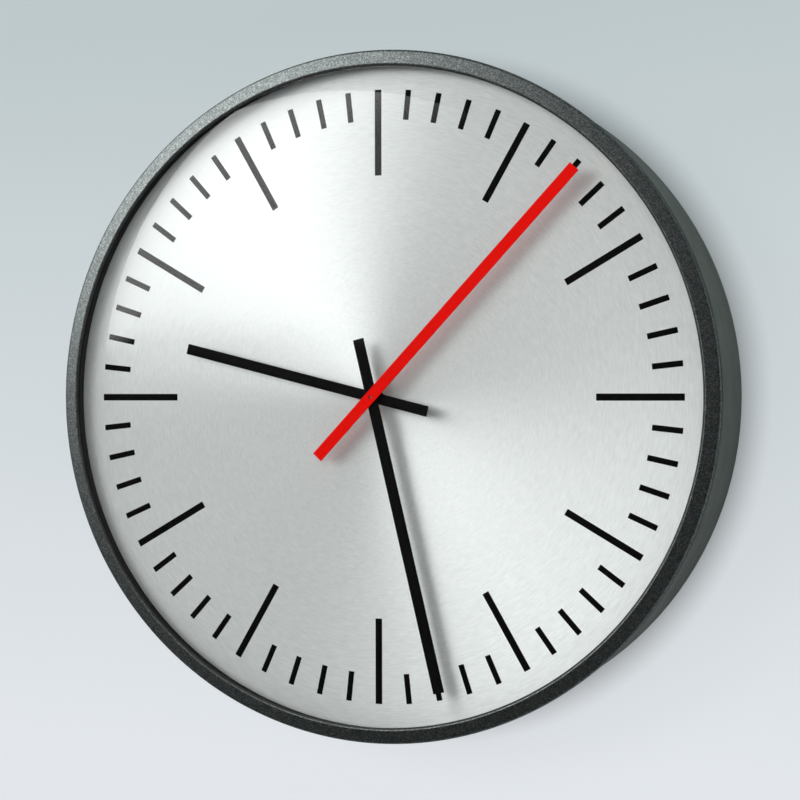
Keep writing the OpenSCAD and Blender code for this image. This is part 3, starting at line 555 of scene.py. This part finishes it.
# %% [markdown]
# The ring is one turned part: a sloping face that ends in a thin lip over the glass, a rounded outer corner,
# a short skirt, and a thin wall behind it that slides into the case. The CAD part has the same section, with
# coarser curves. Here each edge that can be seen gets its own radius, because it shows as a fine line of
# light.

# %% Turn the front ring
face_w = 6.6 * MM
face_rise = 1.7 * MM
skirt_l = 4.9 * MM
wall_outer_r = 147.6 * MM
wall_inner_r = 146.2 * MM
glass_t = 1.6 * MM
lip_r = ring_r - face_w
edge_z = ring_top - face_rise
glass_top = glass_seat + glass_t
skirt_z = edge_z - skirt_l
ring, corners = outline_of([
    (wall_inner_r, ring_foot), (wall_outer_r, ring_foot), (wall_outer_r, skirt_z), (ring_r, skirt_z),
    (ring_r, edge_z), (lip_r, ring_top), (lip_r, glass_top), (wall_inner_r, glass_top)])
# Each line has: number of the corner, its radius in millimetres, and the segments of its curve.
for number, radius, segments in [
        (3, 0.4, 4),
        (4, 1.2, 8),
        (5, 0.7, 6),
        (6, 0.15, 2),
        (0, 0.2, 2),
        (1, 0.2, 2)]:
    round_corner(ring, corners[number], radius * MM, segments)
spin_round(ring)
stand_in(new_piece("front_ring", ring, finishes["ring_paint"]), "clock_body", "ring_paint", "bezel_ring")

# %% [markdown]
# The glass bulges forward, so that the second hand has room. A part of a sphere would be too high in the
# middle or too low at the side, so its section is two arcs that meet smoothly: a flat crown and a tighter
# shoulder. Each arc is drawn by spinning its last point a few degrees round the arc's own centre. A second
# copy of the section, one glass thickness deeper, makes the inner face.

# %% Work out the dome
crown_slope = math.radians(8)
shoulder_slope = math.radians(32)
shoulder_r = 80 * MM
dome_r = 143 * MM
shoulder_at = dome_r - shoulder_r * math.sin(shoulder_slope)
# The arcs share one slope where they meet, which sets the crown's radius.
crown_r = (shoulder_at + shoulder_r * math.sin(crown_slope)) / math.sin(crown_slope)
crown_centre = glass_apex - crown_r
shoulder_centre = glass_top - shoulder_r * math.cos(shoulder_slope)
print("crown radius", round(crown_r / MM, 1), "mm, shoulder radius", round(shoulder_r / MM, 1), "mm")

# %% [markdown]
# With both centres known, the section is drawn from the top of the dome outwards. It ends in a flat rim,
# which the ring's lip holds down.

# %% Blow the glass
crown_steps = 20
shoulder_steps = 32


def arc(shape, start, centre_r, centre_height, angle, steps):
    """Continues a section from a point along an arc, and returns the arc's last point."""
    made = bmesh.ops.spin(shape, geom=[start], cent=(centre_r, -centre_height, 0), axis=(0, 0, 1),
                          angle=angle, steps=steps)
    return next(v for v in made["geom_last"] if isinstance(v, bmesh.types.BMVert))


glass = bmesh.new()
apex = glass.verts.new((0, -glass_apex, 0))
crown_end = arc(glass, apex, 0, crown_centre, crown_slope, crown_steps)
print("crown meets shoulder at", [round(v / MM, 2) for v in crown_end.co])
arc(glass, crown_end, shoulder_at, shoulder_centre, shoulder_slope - crown_slope, shoulder_steps)
shoulder_end = max(glass.verts, key=lambda v: v.co.x)
rim = glass.verts.new((glass_r, -glass_top, 0))
glass.edges.new((shoulder_end, rim))
bmesh.ops.duplicate(glass, geom=glass.verts[:] + glass.edges[:])
glass.verts.ensure_lookup_table()
inner = glass.verts[len(glass.verts) // 2:]
bmesh.ops.translate(glass, vec=(0, glass_t, 0), verts=inner)
glass.edges.new((rim, max(inner, key=lambda v: v.co.x)))
spin_round(glass)
stand_in(new_piece("domed_glass", glass, finishes["glass"]), "clock_body", "glass", "front_glass")

# %% [markdown]
# A thin black bead sits in the corner between the lip and the glass, where the gap between them lies in
# shadow. The bead is a dark piece that stands in for that shadow: it is the fine dark line just inside the
# ring's bright edge. A dark stripe painted on the glass would look flat from the side, so the bead is a spun
# section too, and its underside follows the glass.

# %% Put a dark bead in the shaded gap at the glass
shadow_bead_w = 0.65 * MM
shadow_bead_h = 0.7 * MM
shadow_bead_bulge = 0.85
slope = math.tan(shoulder_slope)
# A dark bead stands in for the shadow in the gap between the lip and the glass.
shadow_bead = outline_of([
    (lip_r, glass_top),
    (lip_r, glass_top + shadow_bead_h),
    (lip_r - shadow_bead_w / 2, glass_top + shadow_bead_h * shadow_bead_bulge),
    (lip_r - shadow_bead_w, glass_top + (shadow_bead_w - lip_r + dome_r) * slope),
    (dome_r, glass_top)])[0]
spin_round(shadow_bead)
stand_in(new_piece("gap_shadow_bead", shadow_bead, finishes["black_rubber"]), "clock_body", "black_rubber")

# %% [markdown]
# The hands are punched from sheet 0.8 mm thick, so they are flat bars with a crisp edge and a round hole.
# The hole could be cut with a Boolean, but that leaves an untidy mesh. Instead the outline and the hole are
# filled as one sheet, which is pushed to its thickness, and the edges get a tiny bevel that catches the
# light. The second hand's hole stays open: it is the dark dot at the centre.

# %% A helper that punches a hand
hand_edge = 0.12 * MM
hole_steps = 32
crisp_angle = math.radians(60)


def punch_hand(name, node, body, slot, angle, width, tip, tail, hole_r):
    """Makes one hand that points up, and turns it clockwise by its angle."""
    high, low = -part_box(node)[0].y, -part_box(node)[1].y
    half = width / 2
    hand = bmesh.new()
    chain(hand, [(-half, -low, -tail), (half, -low, -tail), (half, -low, tip), (-half, -low, tip)])
    place_hole = Matrix.Translation((0, -low, 0)) @ Matrix.Rotation(math.pi / 2, 4, "X")
    bmesh.ops.create_circle(hand, radius=hole_r, segments=hole_steps, matrix=place_hole)
    bmesh.ops.triangle_fill(hand, use_beauty=True, edges=hand.edges[:])
    pushed = bmesh.ops.extrude_face_region(hand, geom=hand.faces[:])["geom"]
    top = [v for v in pushed if isinstance(v, bmesh.types.BMVert)]
    bmesh.ops.translate(hand, vec=(0, low - high, 0), verts=top)
    bmesh.ops.recalc_face_normals(hand, faces=hand.faces)
    crisp = [e for e in hand.edges if e.calc_face_angle(0) > crisp_angle]
    bmesh.ops.bevel(hand, geom=crisp, offset=hand_edge, segments=2, profile=0.5, affect="EDGES", material=-1)
    bmesh.ops.rotate(hand, matrix=Matrix.Rotation(math.radians(angle), 3, "Y"), verts=hand.verts)
    stand_in(new_piece(name, hand, finishes[slot]), body, slot, node)


# %% [markdown]
# All three hands are the same kind of bar and differ only in size, hole and place. The clock shows nearly
# 28 minutes past nine, so each hand is turned by its time, and it then sits exactly on its CAD part. A tip's
# length is given by how far it stays inside the outer ends of the marks.

# %% Punch the three hands
mark_r = 133.9 * MM
hour_angle = 30
minute_angle = 6
hours = 9
minutes = 27.75
seconds = 7.2
punch_hand("hour_bar", "hour_hand", "hour_train", "hand_black", angle=(hours + minutes / 60) * hour_angle,
           width=4.6 * MM, tip=mark_r - 43.6 * MM, tail=25.6 * MM, hole_r=1.76 * MM)
punch_hand("minute_bar", "minute_hand", "minute_train", "hand_black", angle=minutes * minute_angle,
           width=4.8 * MM, tip=mark_r - 4.1 * MM, tail=25.8 * MM, hole_r=1.11 * MM)
punch_hand("second_bar", "second_hand", "seconds_train", "hand_red", angle=seconds * minute_angle,
           width=4.9 * MM, tip=mark_r - 2.6 * MM, tail=35.8 * MM, hole_r=0.66 * MM)

# %% [markdown]
# The wall is a pale grey with painted shade that makes it a little darker upwards. Lit by lamps alone
# it would have bright and dark patches, and much stronger lamps would spoil the clock. So in the camera's
# view, in mirrors and through glass it mostly glows evenly in its own colour. Ambient occlusion takes that
# glow away beside the case, which leaves a narrow painted contact shade, and the rest of the paint takes
# real light and shadow. The back of the wall is clear, so the clock can also be seen from behind.

# %% Paint the wall
glow_share = 0.9
contact_width = 14 * MM
low_bright_grey = (0.744, 0.775, 0.806)
high_shaded_grey = (0.494, 0.562, 0.577)
shading_from = -0.17
shading_to = 0.18


def wall_finish():
    material, shader = start_finish("wall_paint", (0.7, 0.72, 0.73), metallic=0.0, roughness=0.9)
    height = tool(material, "SeparateXYZ", {0: place(material)}).outputs["Z"]
    # The colour darkens upwards as painted shade.
    colour = shade(material, height, low_bright_grey, high_shaded_grey, shading_from, shading_to)
    wire_up(material, shader, Base_Color=colour)
    path = tool(material, "LightPath").outputs
    looks = path["Is Camera Ray"]
    for kind in ("Is Glossy Ray", "Is Transmission Ray"):
        looks = reckon(material, "ADD", looks, path[kind])
    glowing = reckon(material, "MULTIPLY", looks, glow_share)
    # Ambient occlusion dims the glow beside the case as a painted contact shade.
    painted_contact_shade = tool(material, "AmbientOcclusion", {"Distance": contact_width}, samples=16).outputs["AO"]
    glow = tool(material, "Emission", {"Color": colour, "Strength": painted_contact_shade}).outputs[0]
    front = tool(material, "MixShader", {0: glowing, 1: shader.outputs[0], 2: glow}).outputs[0]
    behind = tool(material, "NewGeometry").outputs["Backfacing"]
    clear = tool(material, "BsdfTransparent").outputs[0]
    show_mix(material, behind, front, clear)
    return material


# %% [markdown]
# The wall is a large disc with a round hole behind the clock, so that the clock's back stays in view from
# behind. It starts as the circle of the hole, and its edges are pulled outwards. It lies just clear of the
# case, because two faces in one plane would flicker.

# %% Put up the wall
wall_gap = 0.3 * MM
wall_hole_r = 147 * MM
wall_steps = 96
wall_r = 2.6
wall = bmesh.new()
bmesh.ops.create_circle(wall, radius=wall_hole_r, segments=wall_steps)
pulled = bmesh.ops.extrude_edge_only(wall, edges=wall.edges[:])["geom"]
outer = [v for v in pulled if isinstance(v, bmesh.types.BMVert)]
bmesh.ops.scale(wall, vec=(wall_r / wall_hole_r,) * 3, verts=outer)
bmesh.ops.rotate(wall, matrix=Matrix.Rotation(math.pi / 2, 3, "X"), verts=wall.verts)
bmesh.ops.translate(wall, vec=(0, wall_gap, 0), verts=wall.verts)
bmesh.ops.recalc_face_normals(wall, faces=wall.faces)
if wall.faces[:][0].normal.y > 0:
    bmesh.ops.reverse_faces(wall, faces=wall.faces)
new_piece("wall", wall, wall_finish(), smooth=False)

# %% [markdown]
# A plain pale floor closes the room below. It is far enough down to stay out of the picture, and it is left
# out of reflections, so that the ring doesn't mirror it as a bright band.

# %% Lay the floor
floor_z = -0.9
floor = bmesh.new()
bmesh.ops.create_grid(floor, x_segments=1, y_segments=1, size=wall_r)
bmesh.ops.translate(floor, vec=(0, 0, floor_z), verts=floor.verts)
floor_paint = start_finish("floor_paint", (0.66, 0.67, 0.68), metallic=0.0, roughness=0.8)[0]
floor_piece = new_piece("floor", floor, floor_paint, smooth=False)
floor_piece.visible_glossy = False

# %% [markdown]
# One big soft light stands at the upper left in front of the clock. It is what the glass shows as a pale
# veil over its upper left quarter, and what the brushed dial turns into bright fans. One lamp could do
# everything, but it would blur all shadows. So the big light shows only in reflections, and three lamps that
# nothing mirrors light the surfaces: a wide one in front, a small one for the soft shadows of the hands, and
# one at the right for the side of the case.

# %% A helper that hangs a lamp
dial_centre = Vector((0, -dial_front, 0))


def towards(azimuth, elevation):
    """Unit vector from the dial to a light, with azimuth to the right of straight ahead."""
    a, e = math.radians(azimuth), math.radians(elevation)
    return Vector((math.sin(a) * math.cos(e), -math.cos(a) * math.cos(e), math.sin(e)))


def lamp(name, azimuth, elevation, distance, width, height, radiance, mirrored=False):
    """A rectangular lamp that faces the dial. It shows in reflections, or else it lights surfaces."""
    data = bpy.data.lights.new(name, "AREA")
    data.shape = "RECTANGLE"
    data.size = width
    data.size_y = height
    data.energy = radiance * math.pi * width * height
    made = bpy.data.objects.new(name, data)
    bpy.context.scene.collection.objects.link(made)
    out = towards(azimuth, elevation)
    made.location = dial_centre + out * distance
    made.rotation_euler = out.to_track_quat("Z", "Y").to_euler()
    made.visible_camera = False
    made.visible_glossy = mirrored
    made.visible_diffuse = not mirrored
    print(name, "gives", round(data.energy, 1), "W")
    return data


# %% [markdown]
# The veil in the glass has a soft edge towards the middle of the dial, and a firmer one below. So the big
# light fades over its own surface, from two thirds of its width to its side and in a thin strip at its foot.

# %% Hang the lamps
side_fade_start = 0.66
low_fade_end = 0.08
soft_box = lamp("soft_box", azimuth=-41, elevation=29.3, distance=1.5, width=1.55, height=1.35,
                radiance=3.75, mirrored=True)
soft_box.use_nodes = True
cloth = tool(soft_box, "NewGeometry").outputs["Parametric"]
spot = tool(soft_box, "SeparateXYZ", {0: cloth}).outputs
side_fade = between(soft_box, spot["X"], 1, 0, side_fade_start, 1.0)
low_fade = between(soft_box, spot["Y"], 0, 1, 0.0, low_fade_end)
fading = reckon(soft_box, "MULTIPLY", side_fade, low_fade)
soft_box.node_tree.links.new(fading, soft_box.node_tree.nodes["Emission"].inputs["Strength"])
lamp("side_light", azimuth=76, elevation=48, distance=1.5, width=0.9, height=1.2, radiance=5.0)
lamp("front_fill", azimuth=-10, elevation=10, distance=2.2, width=2.8, height=0.9, radiance=6.6)
lamp("key", azimuth=-26, elevation=14, distance=1.6, width=0.4, height=0.4, radiance=12.0)

# %% [markdown]
# The room itself gives a little light from all sides. An even white room would lie over the whole glass as a
# grey haze. So the room is dim in front of the clock, where the glass would mirror it, and brighter
# behind the wall.

# %% Dim the room
front_strength = 0.03
back_strength = 0.75
front_edge = -0.1
back_edge = 0.3
world = bpy.data.worlds.new("room")
bpy.context.scene.world = world
world.use_nodes = True
sky = tool(world, "TexCoord").outputs["Generated"]
heading = tool(world, "SeparateXYZ", {0: sky}).outputs["Y"]
strength = between(world, heading, front_strength, back_strength, front_edge, back_edge)
room_light = world.node_tree.nodes["Background"]
room_light.inputs["Color"].default_value = (1, 1, 1, 1)
world.node_tree.links.new(strength, room_light.inputs["Strength"])
print("room light from", front_strength, "in front to", back_strength, "behind")
